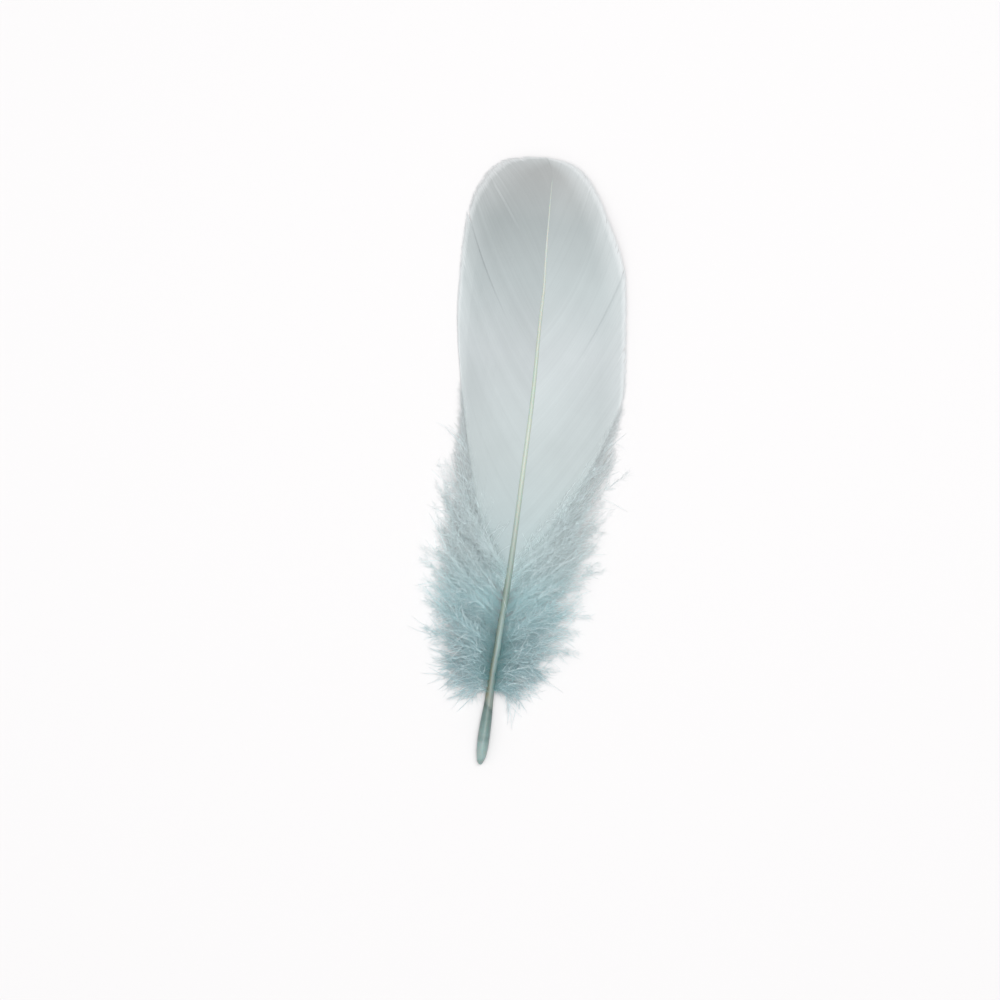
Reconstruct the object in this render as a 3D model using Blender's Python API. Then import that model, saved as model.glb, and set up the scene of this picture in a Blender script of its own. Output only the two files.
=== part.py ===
"""One goose body feather, dyed a pale aqua, lying with its hollow side down.

The bare quill, the shaft that it becomes, the two vanes and the locks of down at their
foot grew as one piece. They are shaped one by one, and a union makes one solid of them.
Run it with: blender --background --python part.py
"""

import math
import random

import bmesh
import bpy
from mathutils import Vector

# Driving dimensions, in metres. Along is measured from the quill's end towards the tip,
# and across from the straight line between those two ends, to the right.
LENGTH = 0.165
MIDDLE_ACROSS = 0.0039
MIDDLE_ALONG = LENGTH / 2
VANE_THICKNESS = 0.0006
LEFT_SPAN = 0.0190  # from the shaft to where a vane's edge comes down to the surface
RIGHT_SPAN = 0.0235
EDGE_HEIGHT = 0.0004
SURFACE_BLEND = 0.0014  # how gently what hangs down turns to lie flat on the surface
RIDGE_HEIGHT = 0.00025  # of every second barb line
RIDGE_RISE = 0.25  # share of a barb over which its ridge rises from the shaft
EDGE_NOTCH = 0.0011  # how deep the edge is notched between two bundles of barbs
SLIT_WIDTH = 0.0010  # at the edge, where a vane has come unzipped

# The shaft: along, across, the height of its centre, and its radius
SHAFT = (
    (0.0000, 0.0000, 0.00125, 0.00030),
    (0.0004, 0.0000, 0.00128, 0.00064),
    (0.0011, 0.0000, 0.00133, 0.00095),
    (0.0021, 0.0001, 0.00140, 0.00122),
    (0.0034, 0.0001, 0.00148, 0.00142),
    (0.0050, 0.0002, 0.00155, 0.00155),
    (0.0070, 0.0002, 0.00160, 0.00160),
    (0.0092, 0.0003, 0.00158, 0.00158),
    (0.0116, 0.0004, 0.00150, 0.00150),
    (0.0140, 0.0005, 0.00137, 0.00137),
    (0.0165, 0.0006, 0.00130, 0.00121),
    (0.0240, 0.0008, 0.00200, 0.00104),
    (0.0340, 0.0015, 0.00320, 0.00092),
    (0.0560, 0.0027, 0.00530, 0.00074),
    (0.0800, 0.0034, 0.00670, 0.00057),
    (0.1000, 0.0039, 0.00690, 0.00044),
    (0.1200, 0.0038, 0.00600, 0.00036),
    (0.1300, 0.0039, 0.00510, 0.00031),
    (0.1400, 0.0035, 0.00400, 0.00026),
    (0.1590, 0.0031, 0.00160, 0.00014),
    (0.1650, 0.0030, 0.00080, 0.00005),
)
SHAFT_SIDES = 12
LONGEST_SHAFT_FACE = 0.0065

# The vanes: where a barb leaves the shaft, and the along and across of its tip. The last
# row is the barb that carries straight on from the shaft.
LEFT_VANE = (
    (0.0460, 0.0820, -0.0125),
    (0.0600, 0.0990, -0.0152),
    (0.0800, 0.1210, -0.0185),
    (0.1060, 0.1465, -0.0184),
    (0.1250, 0.1570, -0.0152),
    (0.1400, 0.1624, -0.0108),
    (0.1500, 0.1642, -0.0060),
    (0.1590, 0.1651, 0.0010),
)
RIGHT_VANE = (
    (0.0460, 0.0840, 0.0245),
    (0.0600, 0.1010, 0.0280),
    (0.0800, 0.1220, 0.0266),
    (0.0940, 0.1365, 0.0246),
    (0.1100, 0.1490, 0.0192),
    (0.1250, 0.1575, 0.0146),
    (0.1400, 0.1625, 0.0100),
    (0.1500, 0.1642, 0.0062),
    (0.1590, 0.1651, 0.0010),
)
BARB_ANGLE = math.radians(38)  # between a barb and the shaft that it leaves
TURN_OF_LAST_BARBS = 2.5  # how fast that angle grows from nothing at the shaft's end
BARB_BOW = 0.45  # share of a barb's length over which it holds that angle
BARB_LINES = 33  # drawn on each vane
BARB_FACES = 7  # along each of them
LINES_PER_BUNDLE = 3
# Where each vane is unzipped: the barb line, and the faces of it that stay closed
LEFT_SLIT = (18, 2)
RIGHT_SLIT = (14, 2)

# The down: where a lock leaves the shaft, and the along and across of its longest barb's tip
LEFT_DOWN = (
    (0.0205, 0.0180, -0.0085),
    (0.0230, 0.0245, -0.0158),
    (0.0280, 0.0360, -0.0196),
    (0.0340, 0.0500, -0.0216),
    (0.0420, 0.0650, -0.0218),
    (0.0540, 0.0835, -0.0186),
)
RIGHT_DOWN = (
    (0.0205, 0.0190, 0.0095),
    (0.0230, 0.0250, 0.0178),
    (0.0280, 0.0360, 0.0230),
    (0.0340, 0.0500, 0.0254),
    (0.0420, 0.0670, 0.0272),
    (0.0540, 0.0865, 0.0294),
)
HAIR_REACH = 0.0020  # how far a lock's hairs stand out beyond that tip
LOCKS_PER_SIDE = 26
LOCK_WIDTH = 0.0032
LOCK_THICKNESS = 0.0018
LOCK_SHORTEST = 0.80  # of the longest one that leaves the shaft at the same place
LOCK_LOFT = 0.0062  # how far the top locks rise above the line of the vanes
LOWEST_LOFT = -0.45  # of that, for the locks that sink below the line
LOCK_ANGLE = math.radians(55)
LOCK_LANDS = 0.91  # share of a lock's length where it comes down again
LOCK_ROOT = 0.12  # of its width, at the shaft
LOCK_TIP = 0.05
LOCK_SWELL = 0.8  # under 1, a lock is widest nearer the shaft than its tip
LOCK_SIDES = 6
LOCK_RINGS = 5
LOCK_SEED = 11
LOOK_AHEAD = 0.01  # share of a lock that gives the way it runs

SAME_PLACE = 1e-6
SHARPEST_FOLD = math.radians(40)  # that is shaded smooth

VANE_COLOUR = (0.62, 0.74, 0.78, 1.0)
VANE_ROUGHNESS = 0.7


def clear_scene():
    for obj in list(bpy.data.objects):
        bpy.data.objects.remove(obj)


def read_curve(rows, at):
    """The values at one place on the smooth curve through rows of (place, values...)."""
    last = len(rows) - 1
    at = min(max(at, rows[0][0]), rows[last][0])
    i = next(n for n in range(last) if at <= rows[n + 1][0])
    step = rows[i + 1][0] - rows[i][0]
    t = (at - rows[i][0]) / step

    def slope(n, k):
        before = rows[max(n - 1, 0)]
        after = rows[min(n + 1, last)]
        return (after[k] - before[k]) / (after[0] - before[0])

    return [
        rows[i][k] * (2 * t**3 - 3 * t**2 + 1)
        + slope(i, k) * step * (t**3 - 2 * t**2 + t)
        + rows[i + 1][k] * (3 * t**2 - 2 * t**3)
        + slope(i + 1, k) * step * (t**3 - t**2)
        for k in range(1, len(rows[0]))
    ]


def place(along, across, height):
    """A point of the feather, with the origin under the middle of its box."""
    return Vector((across - MIDDLE_ACROSS, along - MIDDLE_ALONG, height))


def settle(height, lowest):
    """The height that something takes when it hangs on, or just over, the surface."""
    above = height - lowest
    return lowest + (above + math.hypot(above, SURFACE_BLEND)) / 2


def back_height(along, across):
    """The height of the feather's curved back, before it settles on the surface."""
    middle, crown, _ = read_curve(SHAFT, along)
    span = RIGHT_SPAN if across > middle else LEFT_SPAN
    return crown - max(0, crown - EDGE_HEIGHT) * ((across - middle) / span) ** 2


def barb_point(leaves, tip, angle, share):
    """Along and across of a point on a barb, which bows from its angle at the shaft."""
    root = Vector((leaves, read_curve(SHAFT, leaves)[0]))
    tip = Vector(tip)
    outwards = 1 if tip.y > root.y else -1
    hold = BARB_BOW * (tip - root).length
    control = root + hold * Vector((math.cos(angle), outwards * math.sin(angle)))
    return root * (1 - share) ** 2 + control * 2 * share * (1 - share) + tip * share**2


def vane_point(line, share):
    """A point of the vanes. Line 0 is the left vane's lowest barb, BARB_LINES carries on
    straight from the shaft, and 2 * BARB_LINES is the right vane's lowest barb."""
    vane = LEFT_VANE if line <= BARB_LINES else RIGHT_VANE
    up_the_shaft = 1 - abs(line - BARB_LINES) / BARB_LINES
    first, end = vane[0][0], vane[-1][0]
    leaves = first + (end - first) * up_the_shaft
    tip = read_curve(vane, leaves)
    angle = BARB_ANGLE * min(1, TURN_OF_LAST_BARBS * (1 - up_the_shaft))
    if line % LINES_PER_BUNDLE == 0:
        length = (barb_point(leaves, tip, angle, 1) - barb_point(leaves, tip, angle, 0)).length
        share *= 1 - EDGE_NOTCH / length
    along, across = barb_point(leaves, tip, angle, share)
    ridge = RIDGE_HEIGHT * (line % 2) * min(1, share / RIDGE_RISE)
    height = settle(back_height(along, across), VANE_THICKNESS / 2) + ridge
    return place(along, across, height)


def unzip(bm, line_of, row_of, line, closed):
    """Parts a vane along one barb line, from the row named closed out to its edge."""
    slit = [
        edge
        for edge in bm.edges
        if all(v[line_of] == line and v[row_of] >= closed for v in edge.verts)
    ]
    bmesh.ops.split_edges(bm, edges=slit)
    across_slit = vane_point(line + 1, 1) - vane_point(line - 1, 1)
    across_slit.normalize()
    for v in bm.verts:
        if v[line_of] != line or v[row_of] <= closed:
            continue
        before = all(w[line_of] <= line for face in v.link_faces for w in face.verts)
        opening = SLIT_WIDTH * (v[row_of] - closed) / (BARB_FACES - closed)
        v.co += across_slit * (-opening if before else opening) / 2


def make_vanes():
    """Both vanes as one curved sheet that folds along the shaft, and its thickness."""
    bm = bmesh.new()
    line_of = bm.verts.layers.int.new("line")
    row_of = bm.verts.layers.int.new("row")
    bmesh.ops.create_grid(bm, x_segments=2 * BARB_LINES, y_segments=BARB_FACES, size=1)
    for v in bm.verts:
        v[line_of] = round((v.co.x + 1) * BARB_LINES)
        v[row_of] = round((v.co.y + 1) / 2 * BARB_FACES)
        v.co = vane_point(v[line_of], v[row_of] / BARB_FACES)
    unzip(bm, line_of, row_of, *LEFT_SLIT)
    unzip(bm, line_of, row_of, 2 * BARB_LINES - RIGHT_SLIT[0], RIGHT_SLIT[1])
    on_shaft = [v for v in bm.verts if v[row_of] == 0]
    bmesh.ops.remove_doubles(bm, verts=on_shaft, dist=SAME_PLACE)
    bmesh.ops.recalc_face_normals(bm, faces=bm.faces)
    vanes = object_from(bm, "vanes")
    thickness = vanes.modifiers.new("thickness", "SOLIDIFY")
    thickness.thickness = VANE_THICKNESS
    thickness.offset = 0
    return vanes


def sweep(name, sides, stations):
    """A closed tube of flat sides through (centre, half width, half height) stations.
    A half width reaches sideways and a half height up, to the middle of a side."""
    bm = bmesh.new()
    corner_of = bm.verts.layers.int.new("corner")
    bmesh.ops.create_circle(bm, segments=sides, radius=1, cap_ends=True)
    for number, v in enumerate(bm.verts):
        v[corner_of] = number
    ring = list(bm.verts)
    cap = bm.faces[:]
    for number, (centre, half_width, half_height) in enumerate(stations):
        if number:
            grown = bmesh.ops.extrude_face_region(bm, geom=cap)["geom"]
            if number > 1:
                bmesh.ops.delete(bm, geom=cap, context="FACES_ONLY")
            ring = [g for g in grown if isinstance(g, bmesh.types.BMVert)]
            cap = [g for g in grown if isinstance(g, bmesh.types.BMFace)]
        for v in ring:
            turn = 2 * math.pi * (v[corner_of] + 0.5) / sides
            reach = 1 / math.cos(math.pi / sides)
            v.co = centre + (half_width * math.cos(turn) + half_height * math.sin(turn)) * reach
    bmesh.ops.recalc_face_normals(bm, faces=bm.faces)
    return object_from(bm, name)


def make_shaft():
    """The quill and the shaft. It lies on one flat side of the quill, and its end is round."""
    alongs = [row[0] for row in SHAFT[:-1]]
    pairs = zip(alongs, alongs[1:])
    alongs += [(a + b) / 2 for a, b in pairs if b - a > LONGEST_SHAFT_FACE]
    stations = []
    for along in sorted(alongs):
        across, height, radius = read_curve(SHAFT, along)
        centre = place(along, across, height)
        stations.append((centre, Vector((radius, 0, 0)), Vector((0, 0, radius))))
    return sweep("shaft", SHAFT_SIDES, stations)


def make_lock(name, leaves, tip, reach, loft):
    """One lock of down: a flattened, pointed blade that arches up and sinks to its tip."""
    stations = []
    for ring in range(LOCK_RINGS + 1):
        share = ring / LOCK_RINGS
        along, across = barb_point(leaves, tip, LOCK_ANGLE, share * reach)
        ahead = barb_point(leaves, tip, LOCK_ANGLE, share * reach + LOOK_AHEAD)
        sideways = Vector((ahead.x - along, across - ahead.y, 0)).normalized()
        fullness = LOCK_TIP
        if ring < LOCK_RINGS:
            fullness = LOCK_ROOT + (1 - LOCK_ROOT) * math.sin(math.pi * share**LOCK_SWELL)
        rise = loft * math.sin(math.pi * min(1, share / LOCK_LANDS))
        height = settle(back_height(along, across) + rise, LOCK_THICKNESS / 2)
        if ring == 0:
            height = back_height(along, across)
        stations.append(
            (
                place(along, across, height),
                sideways * fullness * LOCK_WIDTH / 2,
                Vector((0, 0, fullness * LOCK_THICKNESS / 2)),
            )
        )
    return sweep(name, LOCK_SIDES, stations)


def make_down():
    """The locks of down, fanned out on both sides of the shaft's foot."""
    rng = random.Random(LOCK_SEED)
    locks = []
    for side, down in (("left", LEFT_DOWN), ("right", RIGHT_DOWN)):
        first, end = down[0][0], down[-1][0]
        for number in range(LOCKS_PER_SIDE):
            leaves = first + (end - first) * number / (LOCKS_PER_SIDE - 1)
            root = Vector((leaves, read_curve(SHAFT, leaves)[0]))
            tip = Vector(read_curve(down, leaves))
            tip += (tip - root).normalized() * HAIR_REACH
            reach = rng.uniform(LOCK_SHORTEST, 1)
            loft = LOCK_LOFT * rng.uniform(LOWEST_LOFT, 1)
            locks.append(make_lock(f"{side}_lock_{number}", leaves, tip, reach, loft))
    return locks


def object_from(bm, name):
    mesh = bpy.data.meshes.new(name)
    bm.to_mesh(mesh)
    bm.free()
    obj = bpy.data.objects.new(name, mesh)
    bpy.context.scene.collection.objects.link(obj)
    return obj


def make_material():
    material = bpy.data.materials.new("dyed feather")
    material.use_nodes = True
    shader = material.node_tree.nodes["Principled BSDF"]
    shader.inputs["Base Color"].default_value = VANE_COLOUR
    shader.inputs["Roughness"].default_value = VANE_ROUGHNESS
    shader.inputs["Metallic"].default_value = 0.0
    return material


def join_to(body, pieces):
    """Makes one solid of the body and the pieces, which stay behind as guides."""
    grown = bpy.data.collections.new("grown on the shaft")
    for piece in pieces:
        grown.objects.link(piece)
        piece.hide_render = True
        piece.display_type = "WIRE"
    union = body.modifiers.new("grown together", "BOOLEAN")
    union.operation = "UNION"
    union.operand_type = "COLLECTION"
    union.collection = grown
    union.solver = "EXACT"
    bpy.context.view_layer.update()


def keep_outer_skin(obj):
    """Fills the pockets that crossing locks close off, by dropping their inner skins."""
    bm = bmesh.new()
    bm.from_object(obj, bpy.context.evaluated_depsgraph_get())
    outermost = max(bm.verts, key=lambda v: v.co.y)
    reached = set(outermost.link_faces)
    ahead = list(reached)
    while ahead:
        for edge in ahead.pop().edges:
            for face in edge.link_faces:
                if face not in reached:
                    reached.add(face)
                    ahead.append(face)
    pockets = [face for face in bm.faces if face not in reached]
    bmesh.ops.delete(bm, geom=pockets, context="FACES")
    obj.modifiers.clear()
    bm.to_mesh(obj.data)
    bm.free()
    obj.data.shade_smooth()
    obj.data.set_sharp_from_angle(angle=SHARPEST_FOLD)


clear_scene()
feather = make_shaft()
feather.name = "feather"
join_to(feather, [make_vanes()] + make_down())
keep_outer_skin(feather)
feather.data.materials.append(make_material())
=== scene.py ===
"""The looks of one goose body feather, dyed a pale aqua, lying with its hollow side down.

The feather lies along +Y, quill first, on the table at z = 0. Along is measured from the
quill's end towards the tip, and across from the straight line between those two ends.
"""

import math
import random

import bmesh
import bpy
import numpy as np
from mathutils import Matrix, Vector


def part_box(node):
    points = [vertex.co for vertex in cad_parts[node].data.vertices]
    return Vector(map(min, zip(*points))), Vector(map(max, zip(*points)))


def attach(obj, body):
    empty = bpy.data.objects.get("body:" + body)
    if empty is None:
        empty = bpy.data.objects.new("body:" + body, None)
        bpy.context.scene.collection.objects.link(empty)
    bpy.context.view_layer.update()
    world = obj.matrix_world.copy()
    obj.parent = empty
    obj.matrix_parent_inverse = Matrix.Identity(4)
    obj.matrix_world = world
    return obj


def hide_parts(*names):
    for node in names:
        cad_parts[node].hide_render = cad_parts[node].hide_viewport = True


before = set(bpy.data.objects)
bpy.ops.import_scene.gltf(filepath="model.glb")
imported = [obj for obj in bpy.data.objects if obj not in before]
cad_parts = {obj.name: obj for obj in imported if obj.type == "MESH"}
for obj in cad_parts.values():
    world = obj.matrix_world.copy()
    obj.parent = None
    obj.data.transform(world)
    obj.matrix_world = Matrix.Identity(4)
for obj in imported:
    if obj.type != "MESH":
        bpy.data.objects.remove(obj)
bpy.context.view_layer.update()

# The quill and the shaft. A goose's quill is a thin-walled tube of clear horn, bare for its
# first 20 mm. It runs on as the shaft, which narrows to a hair before the tip. It grows in one
# piece, so it is one tube here, drawn ring by ring, and the dye has turned its bare end teal.
MIDDLE_ACROSS = 0.0039
QUILL_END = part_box("feather")[0].y
# Along, across, the height of the centre, and the radius
SHAFT = (
    (0.0000, 0.0000, 0.00125, 0.00030),
    (0.0004, 0.0000, 0.00128, 0.00064),
    (0.0011, 0.0000, 0.00133, 0.00095),
    (0.0021, 0.0001, 0.00140, 0.00122),
    (0.0034, 0.0001, 0.00148, 0.00142),
    (0.0050, 0.0002, 0.00155, 0.00155),
    (0.0070, 0.0002, 0.00160, 0.00160),
    (0.0092, 0.0003, 0.00158, 0.00158),
    (0.0116, 0.0004, 0.00150, 0.00150),
    (0.0140, 0.0005, 0.00137, 0.00137),
    (0.0165, 0.0006, 0.00130, 0.00121),
    (0.0240, 0.0008, 0.00200, 0.00104),
    (0.0340, 0.0015, 0.00320, 0.00092),
    (0.0560, 0.0027, 0.00530, 0.00074),
    (0.0800, 0.0034, 0.00670, 0.00062),
    (0.1000, 0.0039, 0.00690, 0.00052),
    (0.1200, 0.0038, 0.00600, 0.00042),
    (0.1300, 0.0039, 0.00510, 0.00036),
    (0.1400, 0.0035, 0.00400, 0.00028),
    (0.1590, 0.0031, 0.00160, 0.00014),
    (0.1650, 0.0030, 0.00080, 0.00005),
)
SHAFT_END = 0.1600
SHAFT_SIDES = 24
ROUND_END = 0.0046  # the stretch of the quill's rounded end
ROUND_RINGS = 10
SHAFT_RINGS = 84
GROOVE_START = 0.022  # the groove that runs under the shaft, beyond the bare quill
GROOVE_GROWS = 0.020  # along the shaft, until it is as deep as it gets
GROOVE_DEPTH = 0.30  # of the radius
GROOVE_WIDTH = 0.38  # as an angle round the shaft
FLANKS = 0.10  # how far the sides stand out above the groove, of the radius
UNDER = -math.pi / 2
# The horn's colours, at shares of the shaft's length
HORN_COLOURS = (
    (0.000, (0.310, 0.410, 0.390)),
    (0.030, (0.243, 0.341, 0.329)),
    (0.060, (0.156, 0.237, 0.225)),
    (0.090, (0.123, 0.188, 0.174)),
    (0.098, (0.082, 0.126, 0.115)),
    (0.104, (0.228, 0.268, 0.240)),
    (0.150, (0.198, 0.268, 0.254)),
    (0.210, (0.262, 0.368, 0.362)),
    (0.290, (0.224, 0.299, 0.266)),
    (0.375, (0.318, 0.382, 0.344)),
    (0.500, (0.450, 0.520, 0.455)),
    (0.560, (0.475, 0.535, 0.470)),
    (0.620, (0.435, 0.520, 0.445)),
    (0.750, (0.470, 0.520, 0.455)),
    (0.880, (0.510, 0.540, 0.500)),
    (1.000, (0.440, 0.465, 0.430)),
)
DYE_SLANT = 0.0011  # how far up one flank the edge of the dark dye on the bare end runs
DYE_WANDER = 0.0030  # and how unevenly
NOISE_MIDDLE = 0.5
FLANK_SHADE = (0.18, 0.18, 0.11)  # painted shade on the left flank above the bare end, which is turned from the light; its olive tint is the pith's
FLANK_SHADE_STRENGTH = 0.8
FLANK_SHADE_ROUND = (0.15, -0.55)  # where it begins and is full, from -1 to 1 across the shaft
FLANK_SHADE_START = (0.017, 0.019)  # where along the shaft it begins and is full
FLANK_SHADE_END = (0.056, 0.024)  # where it has gone again, and is still full
MEMBRANES = (0.10, 0.165, 0.155)  # the dry ones that show through the bare quill
MEMBRANES_STRENGTH = 0.35
MEMBRANES_END = (0.0155, 0.0140)  # where they have gone, and are still seen in full
MEMBRANE_EDGES = (0.75, 1.0)  # the crests of a wave pattern that are drawn as membranes


def read_curve(rows, at):
    """The values at one place or many on the smooth curve through rows of (place, values)."""
    rows = np.array(rows)
    place, values = rows[:, 0], rows[:, 1:]
    before = np.maximum(np.arange(len(place)) - 1, 0)
    after = np.minimum(np.arange(len(place)) + 1, len(place) - 1)
    slopes = (values[after] - values[before]) / (place[after] - place[before])[:, None]
    at = np.clip(at, place[0], place[-1])
    i = np.clip(np.searchsorted(place, at, side="right") - 1, 0, len(place) - 2)
    step = (place[i + 1] - place[i])[..., None]
    t = (at - place[i])[..., None] / step
    return (
        values[i] * (2 * t**3 - 3 * t**2 + 1)
        + slopes[i] * step * (t**3 - 2 * t**2 + t)
        + values[i + 1] * (3 * t**2 - 2 * t**3)
        + slopes[i + 1] * step * (t**3 - t**2)
    )


def place(along, across, height):
    """Points of the feather, from places along and across it and their heights."""
    return np.stack(
        np.broadcast_arrays(across - MIDDLE_ACROSS, along + QUILL_END, height), axis=-1
    )


def object_of(mesh, name):
    obj = bpy.data.objects.new(name, mesh)
    bpy.context.scene.collection.objects.link(obj)
    return obj


def shaft_rings():
    """Where the rings of the tube lie: close together on the round end, then wider apart."""
    turned = np.linspace(0, math.pi / 2, ROUND_RINGS, endpoint=False)
    return np.concatenate(
        (ROUND_END * (1 - np.cos(turned)), np.linspace(ROUND_END, SHAFT_END, SHAFT_RINGS))
    )


def section_reach(turn, along):
    """The share of the radius that the shaft's section reaches: round, then with a groove."""
    grown = min(1, max(0, (along - GROOVE_START) / GROOVE_GROWS))
    from_under = math.atan2(math.sin(turn - UNDER), math.cos(turn - UNDER))
    groove = GROOVE_DEPTH * math.exp(-((from_under / GROOVE_WIDTH) ** 2))
    flanks = FLANKS * abs(math.cos(turn)) ** 3
    return 1 - grown * (groove - flanks)


def make_shaft():
    bm = bmesh.new()
    flank_of = bm.verts.layers.float.new("flank")
    turn_of = bm.verts.layers.float.new("turn")
    bmesh.ops.create_circle(bm, segments=SHAFT_SIDES, radius=1, cap_ends=True)
    for v in bm.verts:
        v[turn_of] = math.atan2(v.co.y, v.co.x)
    ring, cap = list(bm.verts), bm.faces[:]
    for number, along in enumerate(shaft_rings()):
        if number:
            grown = bmesh.ops.extrude_face_region(bm, geom=cap)["geom"]
            if number > 1:
                bmesh.ops.delete(bm, geom=cap, context="FACES_ONLY")
            ring = [g for g in grown if isinstance(g, bmesh.types.BMVert)]
            cap = [g for g in grown if isinstance(g, bmesh.types.BMFace)]
        across, height, radius = read_curve(SHAFT, np.float64(along))
        centre = Vector(place(along, across, height))
        for v in ring:
            reach = float(radius) * section_reach(v[turn_of], along)
            v.co = centre + Vector((math.cos(v[turn_of]), 0, math.sin(v[turn_of]))) * reach
            v[flank_of] = math.cos(v[turn_of])
    bmesh.ops.recalc_face_normals(bm, faces=bm.faces)
    for face in bm.faces:
        face.smooth = True
    mesh = bpy.data.meshes.new("shaft")
    bm.to_mesh(mesh)
    bm.free()
    return object_of(mesh, "shaft")


def set_socket(tree, socket, value):
    """Links a socket to what another node gives, or sets it to a colour or a number."""
    if isinstance(value, bpy.types.NodeSocket):
        tree.links.new(value, socket)
    elif socket.type == "RGBA":
        socket.default_value = (*value, 1)
    else:
        socket.default_value = value


def new_material(name, settings):
    """A material with its own shader, whose sockets get the settings."""
    material = bpy.data.materials.new(name)
    material.use_nodes = True
    tree = material.node_tree
    shader = tree.nodes["Principled BSDF"]
    for socket, value in settings.items():
        set_socket(tree, shader.inputs[socket], value)
    return material, tree, shader


def add_node(tree, kind, settings=None, **inputs):
    """Adds a node, gives it its settings, and sets or links its inputs by name."""
    node = tree.nodes.new(kind)
    for key, value in (settings or {}).items():
        setattr(node, key, value)
    for key, value in inputs.items():
        set_socket(tree, node.inputs[key], value)
    return node


def read_attribute(tree, name):
    return add_node(tree, "ShaderNodeAttribute", {"attribute_name": name}).outputs["Fac"]


def add_ramp(tree, factor, stops):
    """A smooth ramp of colours, from stops of (place, (red, green, blue))."""
    ramp = add_node(tree, "ShaderNodeValToRGB", Fac=factor)
    points = ramp.color_ramp.elements
    while len(points) < len(stops):
        points.new(0.5)
    for point, (at, colour) in zip(points, stops):
        point.position = at
        point.color = (*colour, 1)
    return ramp.outputs["Color"]


def add_mix(tree, factor, first, second, blend="MIX"):
    """Mixes two colours. The node's sockets for colours come after those for other values."""
    mix = add_node(tree, "ShaderNodeMix", {"data_type": "RGBA", "blend_type": blend})
    for number, value in ((0, factor), (6, first), (7, second)):
        set_socket(tree, mix.inputs[number], value)
    return mix.outputs[2]


def add_maths(tree, operation, first, second):
    node = add_node(tree, "ShaderNodeMath", {"operation": operation})
    set_socket(tree, node.inputs[0], first)
    set_socket(tree, node.inputs[1], second)
    return node.outputs[0]


def multiply(tree, product, *factors):
    for factor in factors:
        product = add_maths(tree, "MULTIPLY", product, factor)
    return product


def add_range(tree, value, low, high, new_low=0.0, new_high=1.0, kind="LINEAR"):
    """Maps a value from one range to another, and keeps it inside."""
    node = add_node(tree, "ShaderNodeMapRange", {"clamp": True, "interpolation_type": kind})
    for socket, number in zip(node.inputs, (value, low, high, new_low, new_high)):
        set_socket(tree, socket, number)
    return node.outputs[0]


def add_noise(tree, where, **sizes):
    return add_node(tree, "ShaderNodeTexNoise", Vector=where, **sizes).outputs[0]


def add_bands(tree, where, **sizes):
    """Bands across the feather, or across a barb where the place is read from its UV map."""
    settings = {"wave_type": "BANDS", "bands_direction": "Y"}
    return add_node(tree, "ShaderNodeTexWave", settings, Vector=where, **sizes).outputs["Fac"]


def along_feather(tree):
    """The distance from the quill's end, in metres, and the place it is read from."""
    where = add_node(tree, "ShaderNodeTexCoord").outputs["Object"]
    y = add_node(tree, "ShaderNodeSeparateXYZ", Vector=where).outputs["Y"]
    return add_maths(tree, "SUBTRACT", y, QUILL_END), where


def horn_material():
    settings = {
        "Roughness": 0.42,
        "Specular IOR Level": 0.5,
        "Subsurface Weight": 0.25,
        "Subsurface Scale": 0.001,
    }
    material, tree, shader = new_material("dyed horn", settings)
    along, where = along_feather(tree)
    flank = read_attribute(tree, "flank")
    grain = add_noise(tree, where, Scale=900.0, Detail=4.0)
    wander = multiply(tree, add_maths(tree, "SUBTRACT", grain, NOISE_MIDDLE), DYE_WANDER)
    dyed = add_maths(tree, "ADD", along, multiply(tree, flank, DYE_SLANT))
    dyed = add_maths(tree, "ADD", dyed, wander)
    colour = add_ramp(tree, add_maths(tree, "DIVIDE", dyed, SHAFT_END), HORN_COLOURS)
    # Painted shade on the shaft's left flank, which is turned from the light
    flank_shade = multiply(
        tree,
        add_range(tree, flank, *FLANK_SHADE_ROUND),
        add_range(tree, along, *FLANK_SHADE_START),
        add_range(tree, along, *FLANK_SHADE_END),
        FLANK_SHADE_STRENGTH,
    )
    colour = add_mix(tree, flank_shade, colour, FLANK_SHADE)
    membranes = multiply(
        tree,
        add_range(tree, add_bands(tree, where, Scale=52.0, Distortion=3.0), *MEMBRANE_EDGES),
        add_range(tree, along, *MEMBRANES_END),
        MEMBRANES_STRENGTH,
    )
    colour = add_mix(tree, membranes, colour, MEMBRANES)
    tree.links.new(colour, shader.inputs["Base Color"])
    stretched = add_node(tree, "ShaderNodeMapping", Vector=where, Scale=(1, 0.06, 1)).outputs[0]
    fibre = add_noise(tree, stretched, Scale=9000.0, Detail=3.0)
    bump = add_node(tree, "ShaderNodeBump", Height=fibre, Strength=0.25, Distance=0.0001)
    tree.links.new(bump.outputs[0], shader.inputs["Normal"])
    return material


shaft = make_shaft()
shaft.data.materials.append(horn_material())
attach(shaft, "root")
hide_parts("feather")

# The two vanes. Each is a row of barbs, hooked edge to edge into one silky sheet that bends
# down from the shaft to the table. A barb is a stiff rib with a thin web on both sides, and it
# runs out in a fine loose end. Where the hooks have let go, the vane has come unzipped.
BARBS_PER_VANE = 330
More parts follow.
